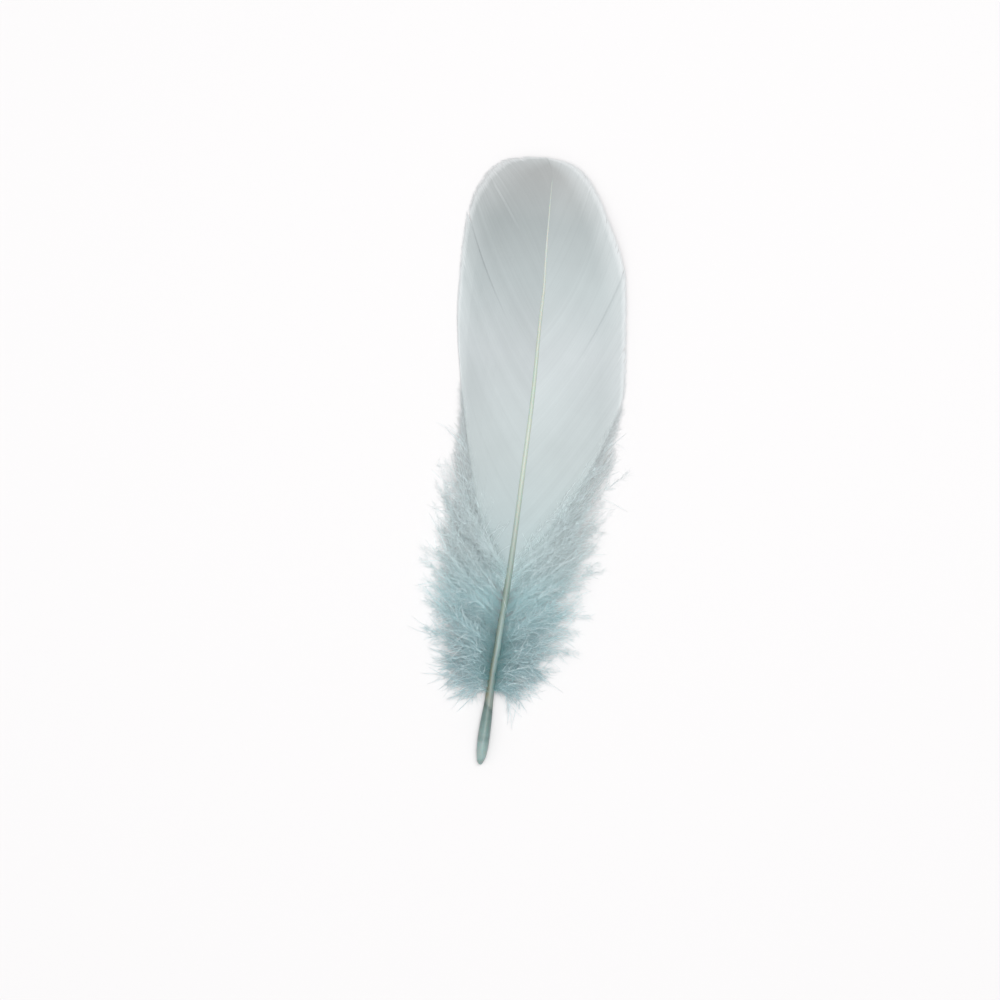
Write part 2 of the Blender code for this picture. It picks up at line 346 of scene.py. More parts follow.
# Where a barb leaves the shaft, and the along and across of its tip
LEFT_VANE = (
    (0.0460, 0.0820, -0.0125),
    (0.0600, 0.0990, -0.0152),
    (0.0800, 0.1210, -0.0185),
    (0.1060, 0.1465, -0.0184),
    (0.1250, 0.1570, -0.0152),
    (0.1400, 0.1624, -0.0108),
    (0.1500, 0.1642, -0.0060),
    (0.1590, 0.1651, 0.0010),
)
RIGHT_VANE = (
    (0.0460, 0.0840, 0.0245),
    (0.0600, 0.1010, 0.0280),
    (0.0800, 0.1220, 0.0266),
    (0.0940, 0.1365, 0.0246),
    (0.1100, 0.1490, 0.0192),
    (0.1250, 0.1575, 0.0146),
    (0.1400, 0.1625, 0.0100),
    (0.1500, 0.1642, 0.0062),
    (0.1590, 0.1651, 0.0010),
)
BARB_ANGLE = math.radians(38)
TURN_OF_LAST_BARBS = 2.5  # how fast the angle closes towards the tip
BARB_BOW = 0.45
LONGEST_BARB = 1.030  # of the way to the vane's edge
SHORTER_BARBS = (1.5, 0.005)  # the shape and the scale of how much shorter the others are
UNEVEN_BARBS = 0.00001  # how far a barb's tip lies above or below its neighbours
LEFT_SPAN = 0.0190  # from the shaft to where a vane's edge comes down to the table
RIGHT_SPAN = 0.0235
EDGE_HEIGHT = 0.0004
SURFACE_BLEND = 0.0006  # how softly the vanes come down to the table
WAVE_HEIGHT = 0.00012
# The slow waves of the back: radians per metre along and across it, and where they start
EVEN_WAVES = (190, -140, 1.0)  # alike on both sides of the shaft
CROSS_WAVES = (80, 180, 2.2)  # from one side to the other
FULL_WAVES = 0.012  # how far from the shaft the waves have their full height
LOWEST_BARB = 0.0003  # the height of a barb that lies on the table
# A barb's section: the edges of its web at -1 and 1, and the top and the underside of its rib
BARB_SECTION = ((-1, 0), (0, 1), (1, 0), (0, -0.6))
BARB_STEPS = 11
STEPS_CROWD = 1.6  # how much closer together the steps lie towards a barb's tip
WEB_OVERLAP = 1.25  # of the distance to the next barb
HALF_WIDTHS = (0.00010, 0.00040)  # the least and the most for a barb with its web
RIB_HEIGHT = 0.00006
RIB_TAPER = 0.6  # the share of its height that a rib has lost at its tip
TILT = 0.00003  # how far the web's near edge lies above the next barb's far edge
# On each side, where a barb leaves the shaft, and the share of it that has a web. The lowest
# barbs are nearly all down, and the upper ones are loose only at their very ends.
WEB_SHARE = {
    -1: (
        (0.0460, 0.12),
        (0.0500, 0.40),
        (0.0550, 0.72),
        (0.0600, 0.89),
        (0.0660, 0.96),
        (0.1590, 0.97),
    ),
    1: (
        (0.0460, 0.14),
        (0.0500, 0.50),
        (0.0540, 0.79),
        (0.0580, 0.92),
        (0.0640, 0.97),
        (0.1590, 0.97),
    ),
}
WEB_THINNING = 0.45  # how softly a web ends, as a share of the barb's loose part
LEAST_THINNING = 0.03  # added to that, as a share of the barb
WEB_FADES = (-1, 0.5)  # where a web begins and stops to thin, in thinnings past its end
WEB_LOSS = 0.80  # the share of its width that it loses there
SPLAY = 0.0032  # how far the tip of the loosest barb swings away from the vane
SPLAY_CURVE = 1.5  # the power by which the swing grows along the loose part
SPLAY_VARIES = (0.4, 1.6)
SPLAY_BACK = 0.5  # how far it swings back towards the quill, of that
BUNDLE_START = 0.80  # the share of a barb beyond which bundles are drawn together
BUNDLE_SIZES = (5, 20)  # the fewest barbs, and one more than the most
BUNDLE_PULL = 0.28
# Where a vane has come unzipped: the side, where the barb leaves the shaft, the shares of it
# between which it is open, and how far it opens and rises
SLITS = (
    (-1, 0.1076, 0.22, 1.00, 0.0006, 0.0004),
    (1, 0.0934, 0.18, 1.00, 0.0003, 0.0003),
    (1, 0.1313, 0.28, 0.60, 0.0001, 0.0003),
    (-1, 0.1508, 0.70, 1.00, 0.0003, 0.0001),
)
SLIT_REACH = 0.005  # along the shaft, how far a slit bends the barbs beside it
SLIT_CLOSES = (0.001, -0.15)  # past the end of an inner slit, where it is closed, and still open
SLIT_SINK = -0.3  # how far the barbs below a slit go down, of the rise of those above it
# On each side, where a barb leaves the shaft, and how pale it is drawn, from 0 to 1; the right
# vane is drawn paler than the left
BARB_PALENESS = {
    -1: ((0.0460, 0.42), (0.0880, 0.50), (0.1020, 0.34), (0.1200, 0.24), (0.1590, 0.45)),
    1: (
        (0.0460, 0.60),
        (0.0800, 0.58),
        (0.0970, 0.80),
        (0.1200, 0.76),
        (0.1400, 0.90),
        (0.1590, 0.62),
    ),
}
BARB_SHADES = 0.05  # how much paler or darker a barb is than its neighbours
STRAND_SHADES = 0.13  # and how much strands of several barbs vary
STRAND_BARBS = 9
# A few barbs of the left vane have sprung up, and are drawn paler as a painted highlight:
# between which places they leave the shaft, and the shares of them where they begin to rise
# and are up, and are down again
SPRUNG_BARBS = (0.1292, 0.1300)
SPRUNG_START = (0.50, 0.64)
SPRUNG_END = (0.96, 0.84)
SPRUNG_RISE = 0.0001
SPRUNG_HIGHLIGHT = 0.66  # a painted highlight: how pale they are drawn
BARB_SEAT = 550.0  # how far above the shaft's middle a barb grows, per its radius squared
SEAT_WIDTH = 0.0015
SEAT_START = (0.045, 0.062)  # along the shaft, where the vane's barbs begin to rise on it
WEB_FOLD = math.radians(50)  # the sharpest fold that is lit as a smooth curve
ROUNDING = 0.00001  # of places read back from a mesh
BARB_SEED = 5
# The vanes' colours, at shares of the shaft's length. They grow greyer and darker towards the
# tip, partly where the dye is thinner and partly as painted shade
VANE_COLOURS_AND_SHADE = (
    (0.28, (0.340, 0.430, 0.440)),
    (0.40, (0.390, 0.457, 0.465)),
    (0.52, (0.430, 0.480, 0.484)),
    (0.70, (0.450, 0.486, 0.496)),
    (0.82, (0.389, 0.432, 0.438)),
    (0.92, (0.328, 0.361, 0.365)),
    (1.00, (0.335, 0.348, 0.348)),
)
VANE_SHADES = (0.88, 1.12)  # what a barb's colour is multiplied by, from the darkest one on
VANE_CLOUDS = (0.97, 1.03)  # and the same for soft clouds of colour
CLOUD_NOISE = (0.3, 0.7)  # the values of the noise at the darkest and the palest cloud
# Painted light on the vanes' edge, where light comes through the thin barbs, and more on the
# barbs' tips, which lifts the thin shadow along the edge: their colours, and the shares of a
# barb between which they come in, with how strong they are at both
RIM_GLOW = (0.62, 0.655, 0.665)
RIM_GLOW_REACH = (0.70, 1.0, 0.0, 0.55)
RIM_GLOW_TONES = (0.0, 0.9, 0.15, 1.0)  # the same from a dark to a pale barb
TIP_LIGHT = (0.80, 0.82, 0.83)
TIP_LIGHT_REACH = (0.93, 1.0, 0.0, 0.6)


def ramp_up(value, low, high):
    """A smooth step from 0 at low to 1 at high."""
    t = np.clip((value - low) / (high - low), 0, 1)
    return t * t * (3 - 2 * t)


def settle(height, least):
    """The height that something takes when it hangs on, or just over, the table."""
    above = height - least
    return least + (above + np.hypot(above, SURFACE_BLEND)) / 2


def wave(along, across, turn_along, turn_across, start):
    return WAVE_HEIGHT * np.sin(along * turn_along + across * turn_across + start)


def back_height(along, across):
    """The height of the feather's curved back, with the slow waves of a real one."""
    middle, crown, radius = np.moveaxis(read_curve(SHAFT, along), -1, 0)
    away = across - middle
    span = np.where(away > 0, RIGHT_SPAN, LEFT_SPAN)
    waves = wave(along, np.abs(away), *EVEN_WAVES) + wave(along, away, *CROSS_WAVES)
    waves = waves * np.minimum(1, np.abs(away) / FULL_WAVES)
    seat = BARB_SEAT * radius**2 * ramp_up(along, *SEAT_START)
    crown = crown + seat * np.exp(-((away / SEAT_WIDTH) ** 2))
    return crown - np.maximum(0, crown - EDGE_HEIGHT) * (away / span) ** 2 + waves


def barb_lines(leaves, tips, angles, shares):
    """Along and across of points on barbs, which bow from their angle at the shaft. It takes
    one row for each barb and one share of its length for each column."""
    roots = np.stack((leaves, read_curve(SHAFT, leaves)[:, 0]), axis=-1)
    outwards = np.sign(tips[:, 1] - roots[:, 1])
    hold = BARB_BOW * np.linalg.norm(tips - roots, axis=-1)
    turned = np.stack((np.cos(angles), outwards * np.sin(angles)), axis=-1)
    control = roots + hold[:, None] * turned
    share = shares[..., None] * np.ones((len(leaves), 1, 1))
    return (
        roots[:, None] * (1 - share) ** 2
        + control[:, None] * 2 * share * (1 - share)
        + tips[:, None] * share**2
    )


def open_slits(lines, heights, leaves, shares, side):
    """Moves the barbs beside a slit apart, and lifts those above it over those below."""
    steps = np.gradient(lines, axis=1)
    ahead = steps / np.linalg.norm(steps, axis=-1, keepdims=True)
    up_the_shaft = np.stack((ahead[..., 1] * -side, ahead[..., 0] * side), axis=-1)
    up_the_shaft *= np.sign(up_the_shaft[..., :1])
    closed, still_open = SLIT_CLOSES
    for slit_side, where, start, end, opening, rise in SLITS:
        if slit_side != side:
            continue
        apart = leaves - where
        near = np.exp(-np.abs(apart) / SLIT_REACH)[:, None] * ramp_up(shares, start, 1)
        if end < 1:
            near = near * ramp_up(shares, end + closed, end + still_open)
        above = np.sign(apart)[:, None]
        lines = lines + up_the_shaft * (above * near * opening / 2)[..., None]
        heights = heights + near * rise * np.where(above > 0, 1, SLIT_SINK)
    return lines, heights


def splay(lines, leaves, shares, side, rng):
    """Swings the loose parts of the lowest barbs out of line with the vane that they leave."""
    webbed = read_curve(WEB_SHARE[side], leaves)
    loose = np.maximum(0, shares - webbed)
    swing = SPLAY * loose**SPLAY_CURVE * rng.uniform(*SPLAY_VARIES, (len(lines), 1))
    return lines + np.stack((-SPLAY_BACK * swing, side * swing), axis=-1)


def bundle(lines, rng):
    """Draws the loose ends of neighbouring barbs together in bundles of uneven width."""
    pull = ramp_up(barb_shares(), BUNDLE_START, 1)[:, None]
    start = 0
    while start < len(lines):
        size = rng.integers(*BUNDLE_SIZES)
        group = slice(start, start + size)
        strength = BUNDLE_PULL * rng.random() ** 2
        centre = lines[group].mean(axis=0)
        lines[group] += (centre - lines[group]) * pull * strength
        start += size
    return lines


def straight_barb(shares):
    """One straight barb, one unit long and half as wide, extruded from its section."""
    bm = bmesh.new()
    ring = [bm.verts.new((across, shares[0], above)) for across, above in BARB_SECTION]
    cap = [bm.faces.new(ring)]
    for number, share in enumerate(shares[1:]):
        grown = bmesh.ops.extrude_face_region(bm, geom=cap)["geom"]
        if number:
            bmesh.ops.delete(bm, geom=cap, context="FACES_ONLY")
        cap = [g for g in grown if isinstance(g, bmesh.types.BMFace)]
        for v in cap[0].verts:
            v.co.y = share
    bmesh.ops.recalc_face_normals(bm, faces=bm.faces)
    return bm


def array_of(bm, name, points, tones, reaches, sharpest_fold=math.pi):
    """One mesh of many copies of a small shape. points, tones and reaches hold the place of
    each vertex of each copy, its shade, and how far out along a barb it is."""
    bm.verts.index_update()
    unit = np.array([v.co[:] for v in bm.verts])
    corners = np.array([corner.vert.index for face in bm.faces for corner in face.loops])
    sizes = np.array([len(face.verts) for face in bm.faces])
    copies, per_copy = points.shape[:2]
    mesh = bpy.data.meshes.new(name)
    mesh.vertices.add(copies * per_copy)
    mesh.vertices.foreach_set("co", points.astype(np.float32).ravel())
    every_corner = corners + per_copy * np.arange(copies)[:, None]
    mesh.loops.add(every_corner.size)
    mesh.loops.foreach_set("vertex_index", every_corner.astype(np.int32).ravel())
    starts = np.concatenate(((0,), np.cumsum(sizes)[:-1]))
    every_start = starts + len(corners) * np.arange(copies)[:, None]
    mesh.polygons.add(every_start.size)
    mesh.polygons.foreach_set("loop_start", every_start.astype(np.int32).ravel())
    mesh.update(calc_edges=True)
    mesh.validate()
    mesh.shade_smooth()
    if sharpest_fold < math.pi:
        mesh.set_sharp_from_angle(angle=sharpest_fold)
    shade = mesh.attributes.new("tone", "FLOAT", "POINT")
    shade.data.foreach_set("value", tones.astype(np.float32).ravel())
    reach = mesh.attributes.new("reach", "FLOAT", "POINT")
    reach.data.foreach_set("value", reaches.astype(np.float32).ravel())
    grain = mesh.uv_layers.new(name="grain")
    spread = np.tile(unit[corners][:, :2], (copies, 1))
    grain.data.foreach_set("uv", spread.astype(np.float32).ravel())
    bm.free()
    return object_of(mesh, name)


def barb_frames(lines, heights):
    """For points along barbs: where they are, and unit vectors ahead, sideways and up."""
    centres = place(lines[..., 0], lines[..., 1], heights)
    ahead = np.gradient(centres, axis=1)
    ahead /= np.linalg.norm(ahead, axis=-1, keepdims=True)
    sideways = np.cross(ahead, (0, 0, 1))
    sideways /= np.linalg.norm(sideways, axis=-1, keepdims=True)
    return centres, ahead, sideways, np.cross(sideways, ahead)


def barb_shares():
    """Where the steps of a barb lie, as shares of its length."""
    return 1 - (1 - np.linspace(0, 1, BARB_STEPS + 1)) ** STEPS_CROWD


def sprung_part(leaves, shares):
    """How far the parts of the left vane's barbs have sprung up, from 0 to 1."""
    sprung = (leaves > SPRUNG_BARBS[0]) & (leaves < SPRUNG_BARBS[1])
    return sprung[:, None] * ramp_up(shares, *SPRUNG_START) * ramp_up(shares, *SPRUNG_END)


def lay_barbs(side, vane, seed):
    """Works out the barbs of one vane: the lines and heights of their ribs, and their shades."""
    rng = np.random.default_rng(seed)
    up_the_shaft = np.linspace(0, 1, BARBS_PER_VANE)
    leaves = vane[0][0] + (vane[-1][0] - vane[0][0]) * up_the_shaft
    tips = read_curve(vane, leaves)
    shares = barb_shares()[None, :]
    angles = BARB_ANGLE * np.minimum(1, TURN_OF_LAST_BARBS * (1 - up_the_shaft))
    ends = LONGEST_BARB - rng.gamma(*SHORTER_BARBS, BARBS_PER_VANE)
    lines = barb_lines(leaves, tips, angles, shares * ends[:, None])
    lines = splay(bundle(lines, rng), leaves, shares, side, rng)
    heights = np.zeros(lines.shape[:2])
    lines, heights = open_slits(lines, heights, leaves, shares, side)
    heights = settle(back_height(lines[..., 0], lines[..., 1]) + heights, LOWEST_BARB)
    heights += rng.normal(0, UNEVEN_BARBS, (BARBS_PER_VANE, 1)) * shares
    strands = rng.normal(0, STRAND_SHADES, BARBS_PER_VANE + STRAND_BARBS - 1)
    strands = np.convolve(strands, np.ones(STRAND_BARBS) / STRAND_BARBS, "valid")
    tones = read_curve(BARB_PALENESS[side], leaves)[:, 0] + strands
    tones += rng.normal(0, BARB_SHADES, BARBS_PER_VANE)
    if side < 0:
        heights += SPRUNG_RISE * sprung_part(leaves, shares)
    return leaves, lines, heights, tones


def make_vane(name, leaves, lines, heights, tones, side):
    centres, _, sideways, up = barb_frames(lines, heights)
    to_next = np.abs(np.sum(np.gradient(centres, axis=0) * sideways, axis=-1))
    shares = barb_shares()
    webbed = read_curve(WEB_SHARE[side], leaves)
    thinning = WEB_THINNING * (1 - webbed) + LEAST_THINNING
    web = 1 - ramp_up((shares - webbed) / thinning, *WEB_FADES) * WEB_LOSS
    half_width = np.clip(to_next * WEB_OVERLAP, *HALF_WIDTHS) * web
    height = RIB_HEIGHT * (1 - RIB_TAPER * shares) * np.ones((len(lines), 1))
    bm = straight_barb(shares)
    unit = np.array([v.co[:] for v in bm.verts])
    step = np.searchsorted(shares, unit[:, 1] - ROUNDING)
    points = (
        centres[:, step]
        + sideways[:, step] * (unit[:, 0] * half_width[:, step])[..., None]
        + up[:, step] * (unit[:, 2] * height[:, step])[..., None]
        + up[:, step] * (-side * unit[:, 0] * TILT * web[:, step])[..., None]
    )
    tones = tones[:, None] * np.ones(len(unit))
    # The sprung barbs are drawn paler, a painted highlight
    if side < 0:
        tones += (SPRUNG_HIGHLIGHT - tones) * sprung_part(leaves, shares[None, :])[:, step]
    reaches = np.tile(unit[:, 1], (len(lines), 1))
    return array_of(bm, name, points, tones, reaches, WEB_FOLD)


def add_shades(tree, colour, noise, shades, clouds):
    """Varies a colour from barb to barb by the tone, and from place to place in soft clouds."""
    bright = add_range(tree, read_attribute(tree, "tone"), 0.0, 1.0, *shades)
    shade = multiply(tree, bright, add_range(tree, noise, *CLOUD_NOISE, *clouds))
    grey = add_node(tree, "ShaderNodeCombineColor", Red=shade, Green=shade, Blue=shade)
    return add_mix(tree, 1.0, colour, grey.outputs[0], "MULTIPLY")


def vane_material():
    settings = {
        "Roughness": 0.62,
        "Specular IOR Level": 0.3,
        "Sheen Weight": 0.2,
        "Sheen Roughness": 0.4,
    }
    material, tree, shader = new_material("dyed vane", settings)
    along, where = along_feather(tree)
    # The vanes' colour along the feather, with painted shade towards the tip
    colour = add_ramp(tree, add_maths(tree, "DIVIDE", along, SHAFT_END), VANE_COLOURS_AND_SHADE)
    noise = add_noise(tree, where, Scale=70.0, Detail=3.0)
    colour = add_shades(tree, colour, noise, VANE_SHADES, VANE_CLOUDS)
    reach = read_attribute(tree, "reach")
    # Painted light: the vanes' edge is drawn paler, where light comes through the thin barbs
    rim_glow = multiply(
        tree,
        add_range(tree, reach, *RIM_GLOW_REACH, "SMOOTHSTEP"),
        add_range(tree, read_attribute(tree, "tone"), *RIM_GLOW_TONES),
    )
    colour = add_mix(tree, rim_glow, colour, RIM_GLOW)
    # Painted light on the barbs' very tips, which lifts the thin shadow along the vane's edge
    colour = add_mix(tree, add_range(tree, reach, *TIP_LIGHT_REACH), colour, TIP_LIGHT)
    tree.links.new(colour, shader.inputs["Base Color"])
    grain = add_node(tree, "ShaderNodeUVMap", {"uv_map": "grain"}).outputs[0]
    barbules = add_bands(tree, grain, Scale=90.0, Distortion=1.0)
    bump = add_node(tree, "ShaderNodeBump", Height=barbules, Strength=0.15, Distance=0.00002)
    tree.links.new(bump.outputs[0], shader.inputs["Normal"])
    return material


vane_finish = vane_material()
barbs = {}
for name, side, vane in (("left", -1, LEFT_VANE), ("right", 1, RIGHT_VANE)):
    barbs[name] = lay_barbs(side, vane, BARB_SEED + side)
    piece = make_vane(f"vane_{name}", *barbs[name], side)
    piece.data.materials.append(vane_finish)
    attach(piece, "root")
    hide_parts("feather")

# The down. Below the vanes the barbs carry no hooks, so each one stands alone: a limp rib with
# long soft barbules all round it. They fan out in locks, cross each other and lie loose, and
# here and there the barbules cling together in a paler wisp. The lowest barbs of the vanes
# carry such hairs too, where their web has ended.
# Where a lock leaves the shaft, and the along and across of the longest tip there
LEFT_DOWN = (
    (0.0205, 0.0180, -0.0085),
    (0.0230, 0.0245, -0.0158),
    (0.0280, 0.0360, -0.0196),
    (0.0340, 0.0500, -0.0216),
    (0.0420, 0.0650, -0.0218),
    (0.0540, 0.0835, -0.0186),
)
RIGHT_DOWN = (
    (0.0205, 0.0190, 0.0095),
    (0.0230, 0.0250, 0.0178),
    (0.0280, 0.0360, 0.0230),
    (0.0340, 0.0500, 0.0254),
    (0.0420, 0.0670, 0.0272),
    (0.0540, 0.0865, 0.0294),
)
LOCKS_PER_SIDE = 26
LOCK_SEED = 11
LOCK_SHORTEST = 0.80  # of the longest one that leaves the shaft at the same place
LOCK_LOFT = 0.0039  # how far the top locks rise above the line of the vanes
LOWEST_LOFT = -0.4  # the least of that, as some locks lie under that line
LOCK_ANGLE = math.radians(55)
LOWEST_DOWN = 0.0004  # the height of a rib that lies on the table
RIBS_PER_LOCK = 6
RIB_STEPS = 12
RIB_SIDES = 3
RIB_RADIUS = 0.00005
RIB_THINNING = 0.75  # the share of its radius that a rib has lost at its tip
# How the ribs of a lock differ, as lengths where nothing else is said
RIB_ROOTS = 0.0012  # along the shaft, to both sides of the lock's own place
RIB_REACHES = (0.66, 1.00)  # of the lock's reach
RIB_TIPS = 0.0016
RIB_TIPS_LIMIT = 0.0022
RIB_ANGLES = 0.16  # as an angle
RIB_LOFTS = 0.0007
LOFT_ARCH = 1.1  # how soon a rib is down again, from 1 for its very tip
RIB_SWING = 0.0012  # how far it snakes
SWING_TURNS = (3, 7)  # the angle that the snaking turns through along it
SWING_STARTS = (0, 6)  # and the angle that it starts at
RIB_CURL = 0.0022  # how far its tip curls to a side
CURL_START = 0.55  # the share of a rib beyond which it curls
RIB_TONES = (0.5, 0.2)  # the middle and the spread
BARE_ROOT = 0.04  # the share of a rib that carries no hairs
BARBULES_PER_METRE = 9500
VANE_BARBULES_PER_METRE = 4700  # on the loose ends of the vanes' lowest barbs
BARBULE_LENGTH = 0.0024
BARBULE_LENGTHS = (0.5, 1.3)  # of that
ROOT_LENGTH = 0.60  # how long they are at a rib's ends, of those in its middle
LENGTH_SWELL = (0.9, 0.08)  # the slope and the start of that swell, a half sine, along a rib
BARBULE_WIDEST = 0.35  # of its length
BARBULE_RADIUS = 0.0000152
BARBULE_SPREAD = (math.radians(20), math.radians(65))  # off the line of the rib
BARBULE_ROLL = 0.6  # round the rib, as an angle
BARBULE_SWEEP = (0.0, 0.5)  # how far one bends towards the rib's tip, of its length
BARBULE_BEND = 0.28  # and how far it bends to any side
BARBULE_TONES = 0.12
LOWEST_HAIR = 0.00004  # the height of a hair that lies on the table
STEEP_HAIR = 0.8  # the share of a hair's direction that points up or down where it is steep
WISPS_PER_RIB = 14
WISPS_PER_LOOSE_BARB = 6
WISP_STEPS = 6
WISP_RADIUS = 0.000055
WISP_LENGTH = 0.0050
WISP_LENGTHS = (0.4, 1.2)  # of that
WISP_ROOTS = (0.05, 0.82)  # where on the hairy part of a rib, as a share of it
WISP_SPREAD = 0.45  # off the line of the rib, as an angle
WISP_RISE = (-0.20, 0.12)  # how far down or up it points
WISP_BEND = 0.95  # of its length
WISP_BENDS = (1, 1, 0.15)  # the shares of that along the three axes
WISP_TONES = (1.2, 2.0)  # above those of all other hairs, so that the colour can tell them
LOOSE_UNDER = 0.93  # the web share below which a barb of the vane carries down
WISPY_UNDER = 0.70  # and the one below which it carries wisps
WEB_COVER = 0.10  # how far down over the web, as a share of the barb, its down begins
# The down's colours, at shares of the shaft's length. It is darker near the quill, partly a
# deeper teal and partly painted shade
DOWN_COLOURS_AND_SHADE = (
    (0.10, (0.42, 0.65, 0.70)),
    (0.18, (0.41, 0.63, 0.67)),
    (0.28, (0.64, 0.90, 0.93)),
    (0.36, (0.84, 0.97, 0.98)),
    (0.55, (0.90, 0.97, 0.98)),
)
DOWN_SHADES = (0.88, 1.04)  # what a hair's colour is multiplied by, from the darkest one on
DOWN_CLOUDS = (0.95, 1.04)
WISPS = (0.86, 0.97, 0.99)
WISP_TINTS = (1.1, 1.8)  # the tones from which a hair begins to be, and is, as pale as that
FOOT = (0.11, 0.36, 0.37)  # the teal of the hairs' lowest roots
FOOT_REACH = (0.30, 0.08)  # the shares of a rib where it begins and is full
FOOT_ALONG = (0.050, 0.026)  # and the same along the feather
FOOT_STRENGTH = 0.9


def straight_hair(sides, steps):
    """One straight hair, one unit long and round, which runs out in a point."""
    bm = bmesh.new()
    bmesh.ops.create_circle(bm, segments=sides, radius=1, cap_ends=True)
    cap = bm.faces[:]
    for v in bm.verts:
        v.co = (v.co.x, 0, v.co.y)
    for step in range(1, steps + 1):
        grown = bmesh.ops.extrude_face_region(bm, geom=cap)["geom"]
        if step > 1:
            bmesh.ops.delete(bm, geom=cap, context="FACES_ONLY")
        cap = [g for g in grown if isinstance(g, bmesh.types.BMFace)]
        for v in cap[0].verts:
            v.co.y = step / steps
    bmesh.ops.pointmerge(bm, verts=cap[0].verts[:], merge_co=(0, 1, 0))
    bmesh.ops.recalc_face_normals(bm, faces=bm.faces)
    return bm


def barbule_shape():
    """One barbule, one unit long: three sides that are widest at a third of it, so that it
    can bend there, and that meet in a point at both ends."""
    bm = bmesh.new()
    bmesh.ops.create_cone(bm, segments=3, radius1=1, radius2=0, depth=1, cap_ends=True)
    base = [face for face in bm.faces if len({round(v.co.z, 3) for v in face.verts}) == 1]
    root = bmesh.ops.poke(bm, faces=base)["verts"][0]
    for v in bm.verts:
        v.co = (v.co.x, 1.0 if v.co.z > 0 else BARBULE_WIDEST, v.co.y)
    root.co = (0, 0, 0)
    bmesh.ops.recalc_face_normals(bm, faces=bm.faces)
    return bm


def hair_array(bm, name, radius, roots, ahead, lengths, bends, tones, reaches):
    """Many hairs of one shape in one mesh. Each starts at its root, runs ahead, and bends."""
    unit = np.array([v.co[:] for v in bm.verts])
    ahead = ahead / np.linalg.norm(ahead, axis=-1, keepdims=True)
    steep = np.abs(ahead[:, 2:]) > STEEP_HAIR
    sideways = np.cross(ahead, np.where(steep, (1.0, 0.0, 0.0), (0.0, 0.0, 1.0)))
    sideways /= np.linalg.norm(sideways, axis=-1, keepdims=True)
    up = np.cross(sideways, ahead)
    run = unit[None, :, 1:2] * lengths[:, None, None]
    middle = (
        roots[:, None]
        + ahead[:, None] * run
        + bends[:, None] * run**2 / lengths[:, None, None]
    )
    middle[..., 2] = np.maximum(middle[..., 2], LOWEST_HAIR)
    points = middle + radius * (
        sideways[:, None] * unit[None, :, 0:1] + up[:, None] * unit[None, :, 2:3]
    )
    every = np.ones(len(unit))
    tones, reaches = tones[:, None] * every, reaches[:, None] * every
    return array_of(bm, name, points, tones, reaches)


def lay_ribs(down, side_locks, rng):
    """The ribs of one side's locks: their points along and across, and their heights."""
    first, end = down[0][0], down[-1][0]
    shares = np.linspace(0, 1, RIB_STEPS + 1)[None, :]
    each = (RIBS_PER_LOCK, 1)
    lines, heights = [], []
    for number, (reach, loft) in enumerate(side_locks):
        leaves = first + (end - first) * number / (LOCKS_PER_SIDE - 1)
        leaves = leaves + rng.uniform(-RIB_ROOTS, RIB_ROOTS, RIBS_PER_LOCK)
        tips = read_curve(down, leaves)
        roots = np.stack((leaves, read_curve(SHAFT, leaves)[:, 0]), axis=-1)
        reaches = reach * rng.uniform(*RIB_REACHES, RIBS_PER_LOCK)
        tips = roots + (tips - roots) * reaches[:, None]
        tips += np.clip(rng.normal(0, RIB_TIPS, tips.shape), -RIB_TIPS_LIMIT, RIB_TIPS_LIMIT)
        angles = LOCK_ANGLE + rng.normal(0, RIB_ANGLES, RIBS_PER_LOCK)
        rib = barb_lines(leaves, tips, angles, shares)
        steps = np.gradient(rib, axis=1)
        beside = np.stack((-steps[..., 1], steps[..., 0]), axis=-1)
        beside /= np.linalg.norm(beside, axis=-1, keepdims=True)
        swing = rng.normal(0, RIB_SWING, each) * shares
        turns = shares * rng.uniform(*SWING_TURNS, each)
        swing = swing * np.sin(turns + rng.uniform(*SWING_STARTS))
        curl = rng.normal(0, RIB_CURL, each) * ramp_up(shares, CURL_START, 1.0) ** 2
        rib = rib + beside * (swing + curl)[..., None]
        arch = np.sin(math.pi * np.minimum(1, shares * LOFT_ARCH))
        rise = (loft + rng.normal(0, RIB_LOFTS, each)) * arch
        height = settle(back_height(rib[..., 0], rib[..., 1]) + rise, LOWEST_DOWN)
        height[:, 0] = read_curve(SHAFT, leaves)[:, 1]
        lines.append(rib)
        heights.append(height)
    return np.concatenate(lines), np.concatenate(heights)


def make_ribs(name, lines, heights, tones):
    centres, _, sideways, up = barb_frames(lines, heights)
    bm = straight_hair(RIB_SIDES, RIB_STEPS)
    unit = np.array([v.co[:] for v in bm.verts])
    step = np.round(unit[:, 1] * RIB_STEPS).astype(int)
    thick = RIB_RADIUS * (1 - RIB_THINNING * unit[None, :, 1:2])
    points = (
        centres[:, step]
        + sideways[:, step] * unit[None, :, 0:1] * thick
        + up[:, step] * unit[None, :, 2:3] * thick
    )
    tones = tones[:, None] * np.ones(len(unit))
    reaches = np.tile(unit[:, 1], (len(lines), 1))
    return array_of(bm, name, points, tones, reaches)


